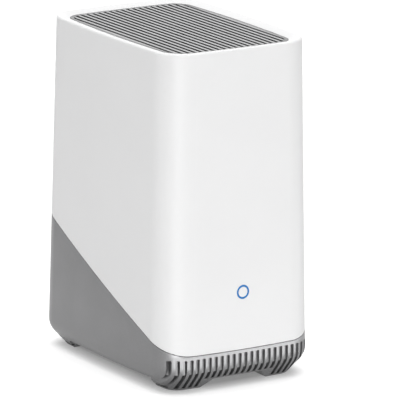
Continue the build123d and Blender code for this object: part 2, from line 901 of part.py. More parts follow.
def drive_tray():
    """Bottom door, back plate and two rails in one moulding, open towards +X for the drive."""
    z_top = drive_high + tray_top_gap
    x = (tray_left, tray_right)
    tray = block(x, (-tray_half, tray_half), (foot_height, z_top))
    tray -= block((tray_left + tray_back, tray_right + cut), (-tray_half + tray_rail, tray_half - tray_rail),
                  (floor_top, z_top + cut))
    margin = tray_window_margin
    tall = (drive_length - 2 * margin - (tray_windows - 1) * tray_window_gap) / tray_windows
    for i in range(tray_windows):
        z = drive_low + margin + i * (tall + tray_window_gap)
        window = block((0, tray_left + tray_back + cut), (-tray_half + margin, tray_half - margin),
                       (z, z + tall))
        tray -= fillet(window.edges().filter_by(Axis.X), tray_window_round)
    tray += block((lug_left, tray_left), (-lug_half, lug_half), (foot_height, floor_top))
    tray -= rod("z", (lug_screw_x, 0, 0), tray_screw_radius + tray_screw_fit, floor_top)
    tab_x = (tray_left + tray_right) / 2
    tab = block((tab_x - tab_thickness / 2, tab_x + tab_thickness / 2), (-tab_width / 2, tab_width / 2),
                (foot_height - tab_depth, foot_height))
    tab = fillet(tab.edges().filter_by(Axis.X).group_by(Axis.Z)[0], tab_depth / 2)
    return tray + tab


def tray_bumpers():
    """Four rubber blocks on the door that the drive stands on."""
    x = (tray_left + tray_back + drive_play, tray_left + tray_back + drive_play + tray_bumper_width)
    half = tray_bumper_length / 2
    middles = [share * drive_width / 2 for share in tray_bumper_y_shares]
    return Part() + [block(x, (y - half, y + half), (floor_top, drive_low)) for y in middles]


def tray_screw():
    """Captive screw: a slotted knurled head below the door's lug and a shank up into the base."""
    body_screw = screw("z", (lug_screw_x, 0, foot_height), 1, tray_screw_head, tray_screw_head_height,
                       tray_screw_radius, floor_thickness + tray_screw_length)
    low = foot_height - tray_screw_head_height
    half = tray_screw_slot / 2
    return body_screw - block((lug_screw_x - half, lug_screw_x + half), (-floor_depth, floor_depth),
                              (low - cut, low + tray_screw_slot_depth))


def sata_connector():
    half = sata_length / 2
    case = block((sata_x - sata_width / 2, sata_x + sata_width / 2), (-half, half),
                 (sata_low, sata_board_low))
    mouth = half - sata_mouth_margin
    return case - block((sata_x - sata_mouth / 2, sata_x + sata_mouth / 2), (-mouth, mouth),
                        (sata_low - cut, sata_low + sata_mouth_depth))


def sata_board():
    half = sata_board_length / 2
    plate = block((sata_x - sata_board_width / 2, sata_x + sata_board_width / 2), (-half, half),
                  (sata_board_low, cage_top))
    for y in sata_screw_ys():
        plate -= rod("z", (sata_x, y, 0), board_screw_radius + seat_gap, height)
    return plate


def ribbon_headers():
    """Two low connectors that the ribbon plugs into: on the bay's board and on the main board."""
    half = header_width / 2
    low = block((sata_x - header_depth / 2, sata_x + header_depth / 2), (-half, half),
                (cage_top, cage_top + header_height))
    z = cage_top + cage_wall + ribbon_rise
    high = block((board_back, board_back + header_height), (-half, half),
                 (z - header_depth / 2, z + header_depth / 2))
    return Part() + [low, high]


def drive_ribbon():
    """Flat cable from the bay's board, up and through the spine, to the main board."""
    z = cage_top + cage_wall + ribbon_rise
    start = (sata_x, 0, cage_top + header_height)
    path = FilletPolyline([start, (sata_x, 0, z), (board_back + header_height, 0, z)], radius=ribbon_bend)
    section = Plane(origin=start, z_dir=(0, 0, 1)) * Rectangle(ribbon_thickness, ribbon_width)
    return sweep(section, path=path)


def main_board():
    plate = block((board_x, board_back), (board_front, board_rear), (board_low, board_high))
    plate -= block((0, spine_x), (board_front - cut, board_notch_y), (board_low - cut, board_notch_z))
    for y, z in spine_screw_places():
        plate -= rod("x", (0, y, z), board_screw_radius + seat_gap, spine_x)
    for y, z in sink_pin_places():
        plate -= rod("x", (0, y, z), sink_pin_radius + seat_gap, spine_x)
    return plate


def on_board(y, z, width, tall, stand, lift=0):
    """A flat component on the board's face, given by its centre, width, height and how far it stands."""
    return block((board_x - lift - stand, board_x - lift), (y - width / 2, y + width / 2),
                 (z - tall / 2, z + tall / 2))


def processor():
    return on_board(processor_y, processor_z, processor_side, processor_side, processor_thickness)


def thermal_pad():
    return on_board(processor_y, processor_z, pad_side, pad_side, thermal_thickness, processor_thickness)


def sink_pin_places():
    """Two push pins hold the heat sink at opposite corners."""
    reach_y = sink_width / 2 - sink_hole_inset
    reach_z = sink_tall / 2 - sink_hole_inset
    return [(processor_y - reach_y, processor_z + reach_z), (processor_y + reach_y, processor_z - reach_z)]


def heat_sink():
    """Extruded aluminium: upright fins on a plate, cut back at the two push pins."""
    lift = processor_thickness + thermal_thickness
    sink = on_board(processor_y, processor_z, sink_width, sink_tall, sink_base, lift)
    pitch = (sink_width - sink_fin_thickness) / (sink_fins - 1)
    for y in grid_x(sink_fins, pitch):
        sink += on_board(processor_y + y, processor_z, sink_fin_thickness, sink_tall, sink_fin_height,
                         lift + sink_base)
    clear = sink_hole_inset + cut
    for y, z in sink_pin_places():
        sink -= block((-floor_width, board_x - lift - sink_base), (y - clear, y + clear),
                      (z - clear, z + clear))
        sink -= rod("x", (-floor_width, y, z), sink_pin_radius + seat_gap, 2 * floor_width)
    return sink


def sink_pins():
    face = board_x - processor_thickness - thermal_thickness - sink_base
    length = board_back - face + sink_pin_head_height / 2
    return Part() + [screw("x", (face, y, z), 1, sink_pin_head, sink_pin_head_height, sink_pin_radius, length)
                     for y, z in sink_pin_places()]


def memory_chips():
    return Part() + [on_board(memory_y, memory_low_z + i * memory_pitch, memory_width, memory_length,
                              memory_thickness) for i in range(2)]


def flash_chip():
    return on_board(flash_y, flash_z, flash_width, flash_length, flash_thickness)


def shield_can():
    """Pressed tin lid over the radio parts."""
    can = on_board(can_y, can_z, can_width, can_length, can_depth)
    inner = on_board(can_y, can_z, can_width - 2 * can_wall, can_length - 2 * can_wall, can_depth - can_wall)
    return can - inner


def line_transformer():
    return on_board(transformer_y, ethernet_z, transformer_width, transformer_length, transformer_thickness)


def power_capacitors():
    cans = []
    for i in range(capacitor_count):
        can = rod("x", (board_x, capacitor_y, power_z + i * capacitor_pitch), capacitor_radius,
                  -capacitor_length)
        cans.append(fillet(can.edges().group_by(Axis.X)[0], capacitor_radius / 8))
    return Part() + cans


def power_inductors():
    coils = [on_board(inductor_y, inductor_low + i * inductor_pitch, inductor_side, inductor_side,
                      inductor_thickness) for i in range(2)]
    return Part() + [fillet(coil.edges().filter_by(Axis.X), inductor_side / 8) for coil in coils]


def wireless_module():
    """Radio board on its own socket, with a tin lid over the chips."""
    card = on_board(module_y, module_z, module_width, module_length, module_thickness, module_lift)
    socket_z = module_z - module_length / 2 + module_can_low
    card += on_board(module_y, socket_z, module_socket_width, 2 * module_can_low, module_lift)
    lid_width = module_width - 2 * module_can_margin
    lid_tall = module_length - 3 * module_can_margin
    return card + on_board(module_y, module_z - module_can_margin / 2, lid_width, lid_tall,
                           module_can_depth, module_lift + module_thickness)


def antennas():
    return Part() + [block((spine_x - antenna_thickness, spine_x),
                           (y - antenna_width / 2, y + antenna_width / 2),
                           (antenna_z - antenna_height / 2, antenna_z + antenna_height / 2))
                     for y in (-antenna_y, antenna_y)]


def coax_leads():
    """A thin lead from each antenna over the board's top edge to the radio board, a round plug at each end."""
    leads = []
    top_x = spine_x - antenna_thickness
    low_x = board_x - module_lift - module_thickness
    low_z = module_z + module_length / 2 - module_can_margin
    for side in (-1, 1):
        top_y = side * (antenna_y - antenna_width / 4)
        low_y = module_y + side * module_width / 4
        top_z = antenna_z - antenna_height / 4
        out_x = top_x - coax_plug_height - lead_radius
        far_x = low_x - coax_plug_height - lead_radius
        over_z = board_high + lead_over
        points = [(out_x, top_y, top_z), (out_x, top_y, over_z), (far_x, low_y, over_z), (far_x, low_y, low_z)]
        path = FilletPolyline(points, radius=lead_bend)
        section = Plane(origin=points[0], z_dir=(0, 0, 1)) * Circle(lead_radius)
        lead = sweep(section, path=path)
        lead += rod("x", (top_x, top_y, top_z), coax_plug_radius, -coax_plug_height - lead_radius)
        lead += rod("x", (low_x, low_y, low_z), coax_plug_radius, -coax_plug_height - lead_radius)
        leads.append(lead)
    return Part() + leads


def ethernet_jack():
    """Shielded jack: a block with a stepped mouth for the plug and its latch."""
    y = (port_end - ethernet_depth, port_end)
    jack = block((board_x - ethernet_stand, board_x), y,
                 (ethernet_z - ethernet_width / 2, ethernet_z + ethernet_width / 2))
    inner_y = (port_end - ethernet_mouth_depth, port_end + cut)
    mouth_high = board_x - ethernet_mouth_low
    half = ethernet_mouth / 2
    jack -= block((mouth_high - ethernet_mouth_stand, mouth_high), inner_y,
                  (ethernet_z - half, ethernet_z + half))
    latch = ethernet_latch_width / 2
    return jack - block((mouth_high - ethernet_mouth_stand - ethernet_latch_stand, mouth_high), inner_y,
                        (ethernet_z - latch, ethernet_z + latch))


def ethernet_pins():
    """Eight sprung wires that slant back from the mouth's floor."""
    x = board_x - ethernet_mouth_low - ethernet_contact_radius - seat_gap
    start_y = port_end - ethernet_mouth_depth / 3
    wires = []
    for z in grid_x(ethernet_contacts, ethernet_contact_pitch):
        run = Vector(-ethernet_contact_rise, -ethernet_contact_run, 0)
        plane = Plane(origin=(x, start_y, ethernet_z + z), z_dir=run)
        wires.append(extrude(plane * Circle(ethernet_contact_radius), amount=run.length))
    return Part() + wires


def usb_shell_tube():
    x = (board_x - usb_lift - usb_stand, board_x - usb_lift)
    z = (usb_z - usb_width / 2, usb_z + usb_width / 2)
    y = (port_end - usb_depth, port_end)
    tube = fillet(block(x, y, z).edges().filter_by(Axis.Y), 2 * usb_shell)
    return tube - block((x[0] + usb_shell, x[1] - usb_shell), (y[0] - cut, y[1] + cut),
                        (z[0] + usb_shell, z[1] - usb_shell))


def usb_tongue_block():
    """White insulator: a block at the back of the shell with the tongue standing forward."""
    x = (board_x - usb_lift - usb_stand + usb_shell + seat_gap, board_x - usb_lift - usb_shell - seat_gap)
    half = usb_width / 2 - usb_shell - seat_gap
    back = block(x, (port_end - usb_depth, port_end - usb_depth + usb_back), (usb_z - half, usb_z + half))
    tongue_x = (x[1] - usb_tongue_drop - usb_tongue, x[1] - usb_tongue_drop)
    tongue_half = usb_tongue_width / 2
    return back + block(tongue_x, (port_end - usb_depth, port_end - usb_tongue_setback),
                        (usb_z - tongue_half, usb_z + tongue_half))


def power_jack():
    y = (port_end - power_depth, port_end)
    jack = block((board_x - power_stand, board_x), y, (power_z - power_width / 2, power_z + power_width / 2))
    jack -= rod("y", (power_x(), port_end + cut, power_z), power_bore / 2, -power_bore_depth - cut)
    return jack


def power_x():
    return board_x - power_stand / 2


def power_pin_rod():
    start = port_end - power_bore_depth
    pin = rod("y", (power_x(), start, power_z), power_pin / 2, power_pin_length)
    return fillet(pin.edges().group_by(Axis.Y)[-1], power_pin / 4)


def sync_button():
    """Round key in the rear wall, with a flange behind it and a stem that meets the switch."""
    outer = port_face_y + button_proud
    inner_wall = floor_depth / 2 - taper * button_z / height - base_wall
    flange_y = inner_wall - button_travel / 4
    cap = rod("y", (button_x(), flange_y, button_z), button_radius, outer - flange_y)
    cap = fillet(cap.edges().group_by(Axis.Y)[-1], button_radius / 6)
    cap += rod("y", (button_x(), flange_y, button_z), button_radius + button_flange, -button_flange_thickness)
    stem_y = switch_y + switch_depth + button_travel + button_behind
    return cap + rod("y", (button_x(), stem_y, button_z), plunger_radius, flange_y - stem_y)


def sync_switch():
    """Square switch on the board's edge, bored for its plunger."""
    case = block((board_x - switch_side, board_x), (switch_y, switch_y + switch_depth),
                 (button_z - switch_side / 2, button_z + switch_side / 2))
    return case - rod("y", (button_x(), switch_y + switch_depth + cut, button_z),
                      plunger_radius + plunger_fit,
                      -switch_depth / 2 - cut)


def switch_plunger():
    start = switch_y + switch_depth / 2 + button_travel + seat_gap
    end = switch_y + switch_depth + button_travel + button_behind
    return rod("y", (button_x(), start, button_z), plunger_radius, end - start)


def speaker_wires():
    """Two wires out of the speaker's box, up, and across to a plug on the main board's front edge."""
    wires = []
    header_y = speaker_box_rear + 4 * wire_pitch
    for side in (-1, 1):
        x = speaker_x + wire_pitch / 2 + side * wire_pitch / 2
        z = board_notch_z + 2 * standoff_radius - side * wire_pitch / 2
        start = (x, speaker_box_rear - speaker_box_wall, wire_z())
        corners = [(x, header_y, wire_z()), (x, header_y, z), (board_x - header_height, header_y, z)]
        path = FilletPolyline([start, *corners], radius=2 * wire_pitch)
        section = Plane(origin=start, z_dir=(0, 1, 0)) * Circle(wire_radius)
        wires.append(sweep(section, path=path))
    return Part() + wires


def speaker_header():
    z = board_notch_z + 2 * standoff_radius
    return on_board(speaker_box_rear + 4 * wire_pitch, z, header_depth + wire_pitch, 3 * wire_pitch,
                    header_height)


NODES = {
    "outer_sleeve": outer_sleeve,
    "top_grille": top_grille,
    "base_housing": base_housing,
    "foot_pads": foot_pads,
    "status_lens": status_lens,
    "status_plug": status_plug,
    "led_board": led_board,
    "status_leds": status_leds,
    "led_screws": led_screws,
    "acoustic_mesh": acoustic_mesh,
    "speaker_box": speaker_box,
    "speaker_frame": speaker_frame,
    "speaker_gasket": speaker_gasket,
    "speaker_cone": speaker_cone,
    "speaker_magnet": speaker_magnet,
    "speaker_screws": speaker_screws,
    "speaker_wires": speaker_wires,
    "speaker_header": speaker_header,
    "spine": spine,
    "frame_screws": frame_screws,
    "drive_cage": drive_cage,
    "cage_screws": cage_screws,
    "drive_tray": drive_tray,
    "tray_bumpers": tray_bumpers,
    "tray_screw": tray_screw,
    "sata_connector": sata_connector,
    "sata_board": sata_board,
    "sata_screws": sata_screws,
    "ribbon_headers": ribbon_headers,
    "drive_ribbon": drive_ribbon,
    "main_board": main_board,
    "board_screws": board_screws,
    "processor": processor,
    "thermal_pad": thermal_pad,
    "heat_sink": heat_sink,
    "sink_pins": sink_pins,
    "memory_chips": memory_chips,
    "flash_chip": flash_chip,
    "shield_can": shield_can,
    "line_transformer": line_transformer,
    "power_capacitors": power_capacitors,
    "power_inductors": power_inductors,
    "wireless_module": wireless_module,
    "antennas": antennas,
    "coax_leads": coax_leads,
    "ethernet_jack": ethernet_jack,
    "ethernet_pins": ethernet_pins,
    "usb_shell": usb_shell_tube,
    "usb_tongue": usb_tongue_block,
    "power_jack": power_jack,
    "power_pin": power_pin_rod,
    "sync_button": sync_button,
    "sync_switch": sync_switch,
    "switch_plunger": switch_plunger,
}

os.makedirs("parts", exist_ok=True)
for name, make in NODES.items():
    export_step(make(), f"parts/{name}.step")
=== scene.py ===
import json
from math import cos, radians, sin, tau

import bmesh
import bpy
from mathutils import Matrix, Vector


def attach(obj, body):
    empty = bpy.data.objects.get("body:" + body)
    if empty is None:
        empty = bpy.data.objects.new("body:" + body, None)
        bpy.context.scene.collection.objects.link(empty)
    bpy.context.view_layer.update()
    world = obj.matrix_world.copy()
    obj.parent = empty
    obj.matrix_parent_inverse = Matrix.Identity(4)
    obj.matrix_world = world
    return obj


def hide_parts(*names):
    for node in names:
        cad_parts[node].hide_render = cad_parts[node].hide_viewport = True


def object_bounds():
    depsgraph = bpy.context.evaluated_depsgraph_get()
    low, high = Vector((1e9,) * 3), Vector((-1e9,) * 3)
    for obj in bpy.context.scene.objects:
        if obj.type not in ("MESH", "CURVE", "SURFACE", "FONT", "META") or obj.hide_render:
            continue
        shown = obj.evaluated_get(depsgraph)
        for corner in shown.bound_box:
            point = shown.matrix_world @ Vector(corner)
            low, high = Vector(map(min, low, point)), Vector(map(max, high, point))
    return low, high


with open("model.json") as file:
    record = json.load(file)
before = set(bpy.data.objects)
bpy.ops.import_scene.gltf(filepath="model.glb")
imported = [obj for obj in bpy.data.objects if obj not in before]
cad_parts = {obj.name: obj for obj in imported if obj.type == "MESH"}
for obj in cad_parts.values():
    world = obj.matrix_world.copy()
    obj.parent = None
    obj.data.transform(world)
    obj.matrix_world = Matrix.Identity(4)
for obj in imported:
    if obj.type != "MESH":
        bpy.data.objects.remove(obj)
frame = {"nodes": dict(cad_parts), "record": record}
cad_box = [list(corner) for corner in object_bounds()]

# Camera.
# A long lens from the front left and a little above, as a product photograph of a
# small upright case is taken. Its place and lens come from the edges of the case.
mm = 0.001
camera_distance = 2.462
camera_turn, camera_rise, camera_roll = radians(-32.135), radians(14.131), radians(0.525)
aim_right, aim_down = 11.39 * mm, 3.6 * mm
lens_length, film_width, sight_limit = 450, 36, 60
middle = Vector((0, 0, cad_box[1][2] / 2))
away = cos(camera_rise)
back = Vector((sin(camera_turn) * away, -cos(camera_turn) * away, sin(camera_rise)))
right = Vector((cos(camera_turn), sin(camera_turn), 0))
up = back.cross(right)
camera_spot = middle + right * aim_right - up * aim_down + back * camera_distance
level = right * cos(camera_roll) + up * sin(camera_roll)
upright = up * cos(camera_roll) - right * sin(camera_roll)
camera_data = bpy.data.cameras.new("camera")
camera_data.lens = lens_length
camera_data.sensor_width = film_width
camera_data.clip_end = sight_limit
camera = bpy.data.objects.new("camera", camera_data)
camera.matrix_world = Matrix.Translation(camera_spot) @ Matrix((level, upright, back)).transposed().to_4x4()
bpy.context.collection.objects.link(camera)
bpy.context.scene.camera = camera
bpy.context.scene.view_settings.view_transform = "Standard"


# Studio.
# A white sweep of paper under soft boxes. The paper shows white to the camera and keeps the case's soft
# shadow, deepened near the case by painted shadow in its glow; from below it is clear, so that the underside
# can be seen.
class Wire:
    """One output in a node tree. Sums, differences, products and quotients add Math nodes."""

    def __init__(self, tree, socket=None):
        self.tree = tree
        self.socket = socket

    def node(self, kind, settings, sockets, output=0):
        """Any other node: its type, its settings, what its sockets get, and the output that comes back."""
        new = self.tree.nodes.new(kind)
        for key, value in settings.items():
            setattr(new, key, value)
        for key, value in sockets.items():
            for one in value if isinstance(value, list) else [value]:
                if isinstance(one, Wire):
                    self.tree.links.new(one.socket, new.inputs[key])
                else:
                    new.inputs[key].default_value = one
        return Wire(self.tree, new.outputs[output])

    def math(self, operation, first, second=0.0):
        return self.node("ShaderNodeMath", {"operation": operation}, {0: first, 1: second})

    def __add__(self, other):
        return self.math("ADD", self, other)

    def __sub__(self, other):
        return self.math("SUBTRACT", self, other)

    def __rsub__(self, other):
        return self.math("SUBTRACT", other, self)

    def __mul__(self, other):
        return self.math("MULTIPLY", self, other)

    def __truediv__(self, other):
        return self.math("DIVIDE", self, other)

    def __rtruediv__(self, other):
        return self.math("DIVIDE", other, self)

    def __neg__(self):
        return self * -1.0

    __radd__, __rmul__ = __add__, __mul__


def into(node, socket, wire):
    """Links a wire to a socket of a node that is there already."""
    wire.tree.links.new(wire.socket, node.inputs[socket])


def coordinate(vector, axis):
    return vector.node("ShaderNodeSeparateXYZ", {}, {0: vector}, axis)


def distance(across, along):
    return across.math("SQRT", across * across + along * along)


def clamped(wire, low=0.0, high=1.0):
    return wire.math("MINIMUM", wire.math("MAXIMUM", wire, low), high)


def rise(wire, start, length):
    """Climbs from 0 at the start to 1 a length further on."""
    return clamped((wire - start) / length)


def ray_is(wire, kind):
    return wire.node("ShaderNodeLightPath", {}, {}, kind)


def seen_ray(wire):
    """One for rays that see the backdrop, in the lens or in metal and glass, and zero for its light."""
    kinds = ("Is Camera Ray", "Is Glossy Ray", "Is Transmission Ray")
    return clamped(sum(ray_is(wire, kind) for kind in kinds))


def new_finish(name, roughness, metallic=0.0):
    """A material with its shader set up; hands back the material, its shader and the place on the piece."""
    material = bpy.data.materials.new(name)
    material.use_nodes = True
    tree = material.node_tree
    shader = tree.nodes["Principled BSDF"]
    shader.inputs["Roughness"].default_value = roughness
    shader.inputs["Metallic"].default_value = metallic
    return material, shader, Wire(tree).node("ShaderNodeTexCoord", {}, {}, "Object")


def speckle(place, grain, detail=2.0):
    """Noise between 0 and 1 whose patches are about that many metres across."""
    return place.node("ShaderNodeTexNoise", {}, {"Vector": place, "Scale": 1 / grain, "Detail": detail})


def between(mask, low, high):
    """A colour that runs from one to the other with the mask."""
    return mask.node("ShaderNodeMix", {"data_type": "RGBA"}, {0: mask, 6: (*low, 1), 7: (*high, 1)}, 2)


def lamp(name, spot, size, power):
    """A soft box that shines from one spot towards the middle of the case."""
    data = bpy.data.lights.new(name, "AREA")
    data.shape, data.size, data.size_y, data.energy = "RECTANGLE", size[0], size[1], power
    box = bpy.data.objects.new(name, data)
    aim = (middle - Vector(spot)).to_track_quat("-Z", "Y")
    box.matrix_world = Matrix.Translation(spot) @ aim.to_matrix().to_4x4()
    bpy.context.collection.objects.link(box)


lamp("key_strip", spot=(-1.75, -2.6, 0.16), size=(0.9, 0.3), power=44)
lamp("front_strip", spot=(0.9, -1.55, 0.16), size=(0.5, 0.3), power=3.8)
lamp("left_box", spot=(-1.75, 0.5, 0.75), size=(0.8, 0.8), power=1.0)
lamp("back_box", spot=(0.85, 1.4, 0.75), size=(1.2, 0.7), power=2)
lamp("top_box", spot=(0.1, 0.2, 1.7), size=(2.0, 2.0), power=32)

fill_light = 0.18
world = bpy.data.worlds.new("studio")
bpy.context.scene.world = world
world.use_nodes = True
sky = world.node_tree.nodes["Background"]
sky.inputs["Color"].default_value = (1, 1, 1, 1)
into(sky, "Strength", clamped(seen_ray(Wire(world.node_tree)), fill_light))

paper_grain = 18 * mm
paper, shader, spot = new_finish("studio_paper", roughness=0.9)
shader.inputs["Specular IOR Level"].default_value = 0.1
into(shader, "Base Color", between(speckle(spot, paper_grain), (0.74, 0.74, 0.74), (0.75, 0.75, 0.75)))

# The paper's own glow is dimmest under the case and fades out towards its edge: a painted shadow, which the
# camera sees on the paper and the base's skirt mirrors. In front of the case lies a strip of stronger glow
# that only reflections show: it lights up the painted fins and the wall above them.
dim_inset, dim_start, dim_blur = 16.85 * mm, 4 * mm, 12 * mm
dimmest_share, paper_glow, strip_glow = 0.35, 0.54, 5.0
strip_near, strip_near_blur = 16 * mm, 25 * mm
strip_far, strip_far_blur = 63 * mm, 40 * mm
strip_left, strip_left_blur = 25 * mm, 50 * mm
dim_half = [side - dim_inset for side in cad_box[1]]
past = [clamped(spot.math("ABSOLUTE", coordinate(spot, axis)) - dim_half[axis]) for axis in (0, 1)]
# Painted shadow: near the case's footprint the glow falls to the dimmest share of its strength.
painted_shadow_factor = rise(distance(*past), dim_start, dim_blur) * (1 - dimmest_share) + dimmest_share
beside, ahead = [cad_box[0][axis] - coordinate(spot, axis) for axis in (0, 1)]
strip = rise(ahead, strip_near, strip_near_blur) * (1 - rise(ahead, strip_far, strip_far_blur))
strip = strip * (1 - rise(beside, strip_left, strip_left_blur)) * ray_is(spot, "Is Glossy Ray")
into(shader, "Emission Color", seen_ray(spot) * painted_shadow_factor * paper_glow + strip * strip_glow)
shader.inputs["Emission Strength"].default_value = 1.0
behind = spot.node("ShaderNodeNewGeometry", {}, {}, "Backfacing") * seen_ray(spot)
clear = spot.node("ShaderNodeBsdfTransparent", {}, {})
shown = spot.node("ShaderNodeMixShader", {}, {0: behind, 1: Wire(spot.tree, shader.outputs[0]), 2: clear})
into(spot.tree.nodes["Material Output"], "Surface", shown)

floor_half = 8.0
floor_corners = [(x * floor_half, y * floor_half, 0) for x, y in ((-1, -1), (1, -1), (1, 1), (-1, 1))]
floor_mesh = bpy.data.meshes.new("studio_floor")
floor_mesh.from_pydata(floor_corners, [], [(0, 1, 2, 3)])
floor_mesh.materials.append(paper)
floor = bpy.data.objects.new("studio_floor", floor_mesh)
bpy.context.collection.objects.link(floor)


# Outer sleeve.
# One tall moulding in white plastic, pulled off the tool upwards, with a fine satin
# texture from the tool's spark-eroded wall. It slides down over the inner frame.
def relief(height, depth):
    return height.node("ShaderNodeBump", {}, {"Height": height, "Distance": depth})


def moulded(name, colour, roughness, shine=0.5, grain=0.35 * mm, depth=0.012 * mm, cloud=0.02):
    """Moulded plastic: fine tool texture, faint flow clouds in its colour, gloss that varies a little."""
    flow_size = 26 * mm
    material, shader, place = new_finish(name, roughness)
    shader.inputs["Specular IOR Level"].default_value = shine
    flow = speckle(place, flow_size, 4.0)
    fine = speckle(place, grain, 3.0)
    darker = tuple(channel * (1 - cloud * 2) for channel in colour)
    into(shader, "Base Color", between(flow * 0.7 + fine * 0.3, darker, colour))
    into(shader, "Roughness", flow * 0.08 + fine * 0.06 + (roughness - 0.07))
    into(shader, "Normal", relief(fine, depth))
    return material


def dress(node, material):
    """A CAD node whose shape is right keeps its mesh and gets its finish."""
    mesh = frame["nodes"][node].data
    mesh.materials.clear()
    mesh.materials.append(material)


sleeve_white = moulded("sleeve_white", (0.87, 0.87, 0.872), roughness=0.42, shine=0.3, depth=0.008 * mm)
dress("outer_sleeve", sleeve_white)

# Base.
# A deep moulding painted silver-grey: a slanted wall with fine upright grooves, a chamfered
# skirt and four slotted feet. The paint carries fine metal flake, and every fin is rounded.
weld_reach = 0.002 * mm
level_angle, sharp_angle, ease_angle = radians(0.6), radians(32), radians(35)


def merged(node):
    """A copy of a CAD node's mesh, with its loose triangles joined."""
    work = bmesh.new()
    work.from_mesh(frame["nodes"][node].data)
    bmesh.ops.remove_doubles(work, verts=work.verts, dist=weld_reach)
    return work


def home(node):
    """The body that a CAD node rides on."""
    for name, body in frame["record"]["behaviour"]["bodies"].items():
        if node in body:
            return name


def settle(piece, material, node):
    """Turns a piece's modifiers into plain mesh and lets it stand for a CAD node, on the node's body."""
    view = piece.evaluated_get(bpy.context.evaluated_depsgraph_get())
    mesh = bpy.data.meshes.new_from_object(view)
    piece.modifiers.clear()
    piece.data = mesh
    mesh.set_sharp_from_angle(angle=sharp_angle)
    mesh.materials.clear()
    mesh.materials.append(material)
    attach(piece, home(node))
    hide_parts(node)


def eased(node, material, edge, steps=2):
    """A copy of a CAD node with its sharp edges rounded off."""
    work = merged(node)
    bmesh.ops.dissolve_limit(work, angle_limit=level_angle, verts=work.verts, edges=work.edges)
    mesh = bpy.data.meshes.new(node + "_eased")
    work.to_mesh(mesh)
    work.free()
    piece = bpy.data.objects.new(node + "_eased", mesh)
    bpy.context.collection.objects.link(piece)
    bevel = piece.modifiers.new("ease", "BEVEL")
    bevel.width, bevel.segments = edge, steps
    bevel.limit_method, bevel.angle_limit = "ANGLE", ease_angle
    bevel.use_clamp_overlap = True
    settle(piece, material, node)


def silver_paint(name, dark, light, shade=None):
    """Satin paint with fine metal flake, on a slightly uneven skin. The shade mask tells where it darkens
    nearly to black as painted shade.
    """
    flake_size, cloud_size = 0.16 * mm, 22 * mm
    skin_grain, skin_depth = 0.3 * mm, 0.006 * mm
    material, shader, place = new_finish(name, roughness=0.4, metallic=0.82)
    flake = place.node("ShaderNodeTexVoronoi", {}, {"Vector": place, "Scale": 1 / flake_size}, "Color")
    flake_tone = place.node("ShaderNodeSeparateColor", {}, {0: flake})
    cloud = speckle(place, cloud_size, 3.0)
    tone = between(flake_tone * 0.5 + cloud * 0.5, dark, light)
    if shade:
        # Nearly black: painted shade where the shade mask is one.
        painted_shade_black = (0.02, 0.02, 0.02, 1)
        tone = tone.node("ShaderNodeMix", {"data_type": "RGBA"}, {0: shade(place), 6: tone, 7: painted_shade_black}, 2)
    into(shader, "Base Color", tone)
    into(shader, "Roughness", flake_tone * 0.16 + cloud * 0.06 + 0.3)
    into(shader, "Normal", relief(speckle(place, skin_grain), skin_depth))
    return material


base_paint = silver_paint("base_paint", (0.162, 0.162, 0.164), (0.248, 0.248, 0.252))
eased("base_housing", base_paint, edge=0.45 * mm, steps=3)

# Top grille.
# A flat panel of parallel slats that closes the top, moulded and painted like the base. Its
# slat edges are rounded, and it snaps onto the ledge inside the sleeve.
panel = [max(corner[axis] for corner in frame["nodes"]["top_grille"].bound_box) for axis in range(3)]
panel_corner, panel_bow = 11.5 * mm, (2.1 * mm, 1.2 * mm)
border_width, border_blur, border_shade = 1.9 * mm, 0.5 * mm, 0.6
slot_shade_depth = 1.4 * mm


def grille_shade(place):
    """Where the grille gets painted shade: down in the slots and along the border, with its round corners and
    bowed sides.
    """
    flat = [place.math("ABSOLUTE", coordinate(place, axis)) for axis in (0, 1)]
    past = []
    for axis in (0, 1):
        share = flat[1 - axis] / panel[1 - axis]
        bowed = flat[axis] + share * share * panel_bow[axis]
        past.append(clamped(bowed - (panel[axis] - panel_corner)))
    in_border = distance(*past) - (panel_corner - border_width)
    border = clamped(in_border / border_blur, high=border_shade)
    sunk = (panel[2] - coordinate(place, 2)) / slot_shade_depth
    return place.math("MAXIMUM", border, sunk)


# The grille's paint darkens nearly to black as painted shade down in its slots and along its border.
grille_paint = silver_paint("grille_paint", (0.25, 0.25, 0.253), (0.35, 0.35, 0.356), grille_shade)
eased("top_grille", grille_paint, edge=0.3 * mm)


# Foot soles.
# Four thin rubber soles, stamped from ribbed sheet and stuck into shallow recesses.
# They keep the station from sliding.
def wave(along, pitch):
    """Swings between -1 and 1, once for each pitch along the way."""
    return along.math("SINE", along * (tau / pitch))


rib_pitch, rib_depth, dust_size = 1.1 * mm, 0.1 * mm, 3 * mm
sole_rubber, shader, place = new_finish("sole_rubber", roughness=0.8)
ribs = wave(coordinate(place, 0), rib_pitch)
dust = speckle(place, dust_size, 5.0)
into(shader, "Base Color", between(dust, (0.025, 0.025, 0.026), (0.06, 0.06, 0.058)))
into(shader, "Roughness", dust * 0.25 + 0.62)
into(shader, "Normal", relief(ribs * 0.5 + dust * 0.3, rib_depth))
dress("foot_pads", sole_rubber)

# Status light.
# A thin ring of tinted light pipe round a white disc, lit from behind by four lamps on a
# small board that two screws hold to the sleeve's bosses.
swirl_size = 1.2 * mm
lens_blue, shader, place = new_finish("lens_blue", roughness=0.22)
swirl = speckle(place, swirl_size)
into(shader, "Base Color", between(swirl, (0.003, 0.12, 0.36), (0.007, 0.17, 0.48)))
into(shader, "Emission Color", between(swirl, (0.004, 0.18, 0.5), (0.008, 0.22, 0.58)))
shader.inputs["Emission Strength"].default_value = 0.15
into(shader, "Roughness", swirl * 0.1 + 0.17)
dress("status_lens", lens_blue)
dress("status_plug", sleeve_white)


